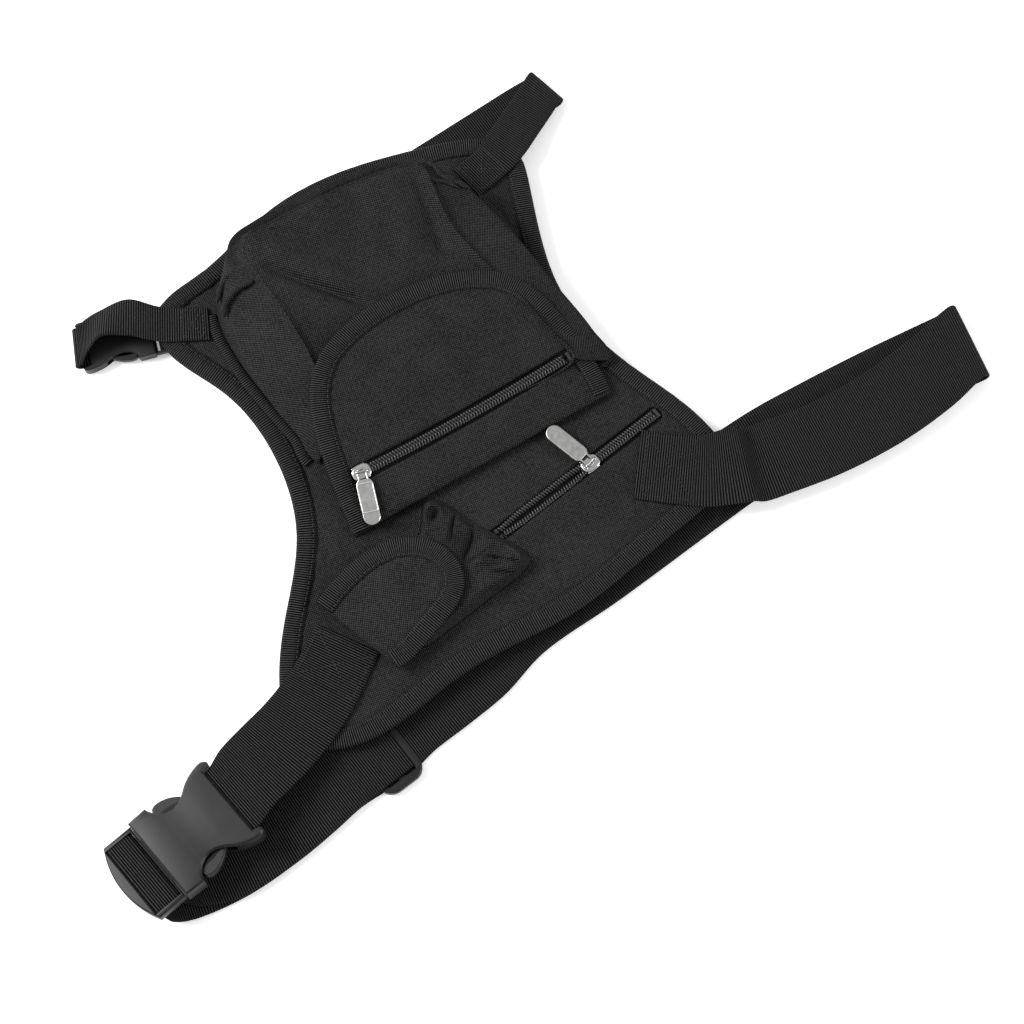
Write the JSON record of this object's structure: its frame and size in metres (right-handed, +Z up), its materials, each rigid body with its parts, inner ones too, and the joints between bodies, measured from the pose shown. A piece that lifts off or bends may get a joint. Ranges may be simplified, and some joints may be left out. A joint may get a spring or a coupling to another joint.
{
  "type": "harness vest",
  "caption": "Padded hourglass harness pack with flap pocket, small pouch, zips, a wide buckled belt and a narrow buckled strap.",
  "frame": {"origin": "on the ground under the middle of the panel, where the back pad rests", "axes": "+Z up out of the panel's face, +X along the belts towards the free loop, +Y from the belt end to the narrow-strap end"},
  "size_m": [0.6302, 0.4088, 0.0419],
  "materials": {
    "oxford_cloth": "coarse plain-weave coated polyester, faint sheen",
    "lining_cloth": "thin plain-weave lining, matt",
    "foam": "closed-cell foam sheet, hidden inside the panel",
    "spacer_mesh": "open air mesh, matt",
    "grosgrain_tape": "ribbed binding tape, slight sheen on the ribs",
    "webbing": "heavy ribbed webbing, slight sheen on the ribs",
    "zip_tape": "fine herringbone tape",
    "zip_coil": "moulded nylon coil, satin",
    "plated_metal": "satin nickel plate with worn edges",
    "buckle_plastic": "moulded acetal, satin",
    "hook_and_loop": "hook-and-loop fastener tape"
  },
  "bodies": {
    "root": {"panel_lining": "lining_cloth", "panel_foam": "foam", "panel_face": "oxford_cloth", "panel_binding": "grosgrain_tape", "back_pad": "spacer_mesh", "panel_zip_tapes": "zip_tape", "panel_zip_coils": "zip_coil", "panel_zip_stops": "zip_coil", "pocket_front": "oxford_cloth", "pocket_gusset": "oxford_cloth", "pocket_seam_tape": "grosgrain_tape", "pocket_loop_tape": "hook_and_loop", "flap_hem": "oxford_cloth", "pouch_front": "oxford_cloth", "pouch_gusset": "oxford_cloth", "pouch_hem": "oxford_cloth", "pouch_loop_tape": "hook_and_loop", "belt_stub": "webbing", "belt": "webbing", "belt_socket": "buckle_plastic", "strap_patch": "webbing", "strap_back": "webbing", "strap_plug": "buckle_plastic"},
    "main_flap": {"flap_lining": "lining_cloth", "flap_face": "oxford_cloth", "flap_binding": "grosgrain_tape", "flap_zip_tapes": "zip_tape", "flap_zip_coils": "zip_coil", "flap_zip_stops": "zip_coil", "flap_hook_tape": "hook_and_loop"},
    "pouch_flap": {"pouch_flap": "oxford_cloth", "pouch_flap_binding": "grosgrain_tape", "pouch_hook_tape": "hook_and_loop"},
    "flap_slider": {"flap_zip_slider": "plated_metal"},
    "flap_pull": {"flap_zip_pull": "plated_metal"},
    "panel_slider": {"panel_zip_slider": "plated_metal"},
    "panel_pull": {"panel_zip_pull": "plated_metal"},
    "belt_plug": {"belt_plug": "buckle_plastic", "belt_adjuster": "webbing"},
    "belt_prong_near": {"belt_prong_near": "buckle_plastic"},
    "belt_prong_far": {"belt_prong_far": "buckle_plastic"},
    "belt_triglide": {"belt_triglide": "buckle_plastic"},
    "strap_socket": {"strap_socket": "buckle_plastic", "strap_front": "webbing"},
    "strap_prong_near": {"strap_prong_near": "buckle_plastic"},
    "strap_prong_far": {"strap_prong_far": "buckle_plastic"}
  },
  "joints": [
    {"name": "main_flap_lift", "type": "hinge", "parent": "root", "child": "main_flap", "pos_m": [0.017, -0.042, 0.015], "axis": [0.9977, 0.068, 0], "range_deg": [0, 90]},
    {"name": "pouch_flap_lift", "type": "hinge", "parent": "root", "child": "pouch_flap", "pos_m": [-0.1025, -0.1075, 0.017], "axis": [0.4051, -0.9143, 0], "range_deg": [0, 100]},
    {"name": "flap_zip_slide", "type": "slide", "parent": "main_flap", "child": "flap_slider", "axis": [0.9977, 0.068, 0], "range_m": [0, 0.14]},
    {"name": "flap_pull_flip", "type": "hinge", "parent": "flap_slider", "child": "flap_pull", "pos_m": [-0.05483, -0.01756, 0.02767], "axis": [-0.9737, 0.2224, 0.0498], "range_deg": [0, 175]},
    {"name": "panel_zip_slide", "type": "slide", "parent": "root", "child": "panel_slider", "axis": [0.9781, 0.2079, 0], "range_m": [-0.045, 0.03]},
    {"name": "panel_pull_flip", "type": "hinge", "parent": "panel_slider", "child": "panel_pull", "pos_m": [0.07598, -0.07255, 0.0156], "axis": [0.9135, 0.4067, 0], "range_deg": [0, 175]},
    {"name": "belt_release", "type": "slide", "parent": "root", "child": "belt_plug", "axis": [-0.9703, -0.2419, 0], "range_m": [0, 0.044], "deforming": ["belt_prong_near", "belt_prong_far"]},
    {"name": "belt_prong_squeeze", "type": "hinge", "parent": "belt_plug", "child": "belt_prong_near", "pos_m": [-0.26806, -0.19906, 0.01867], "axis": [-0.042, 0.1685, 0.9848], "range_deg": [0, 12]},
    {"name": "belt_prong_squeeze_far", "type": "hinge", "parent": "belt_plug", "child": "belt_prong_far", "pos_m": [-0.27759, -0.16084, 0.01173], "axis": [-0.042, 0.1685, 0.9848], "range_deg": [-12, 0]},
    {"name": "belt_length_slide", "type": "slide", "parent": "belt_plug", "child": "belt_triglide", "axis": [-0.9816, -0.1908, 0], "range_m": [0, 0.018]},
    {"name": "strap_release", "type": "slide", "parent": "root", "child": "strap_socket", "axis": [-0.9763, 0.2164, 0], "range_m": [0, 0.029], "deforming": ["strap_prong_near", "strap_prong_far"]},
    {"name": "strap_prong_squeeze", "type": "hinge", "parent": "root", "child": "strap_prong_far", "pos_m": [-0.12399, 0.14541, 0.0042], "axis": [0, 0, 1], "range_deg": [0, 12]},
    {"name": "strap_prong_squeeze_near", "type": "hinge", "parent": "root", "child": "strap_prong_near", "pos_m": [-0.12875, 0.12394, 0.0042], "axis": [0, 0, 1], "range_deg": [-12, 0]}
  ],
  "couplings": [
    {"joint": "belt_prong_squeeze_far", "follows": "belt_prong_squeeze", "ratio": -1},
    {"joint": "strap_prong_squeeze_near", "follows": "strap_prong_squeeze", "ratio": -1}
  ]
}
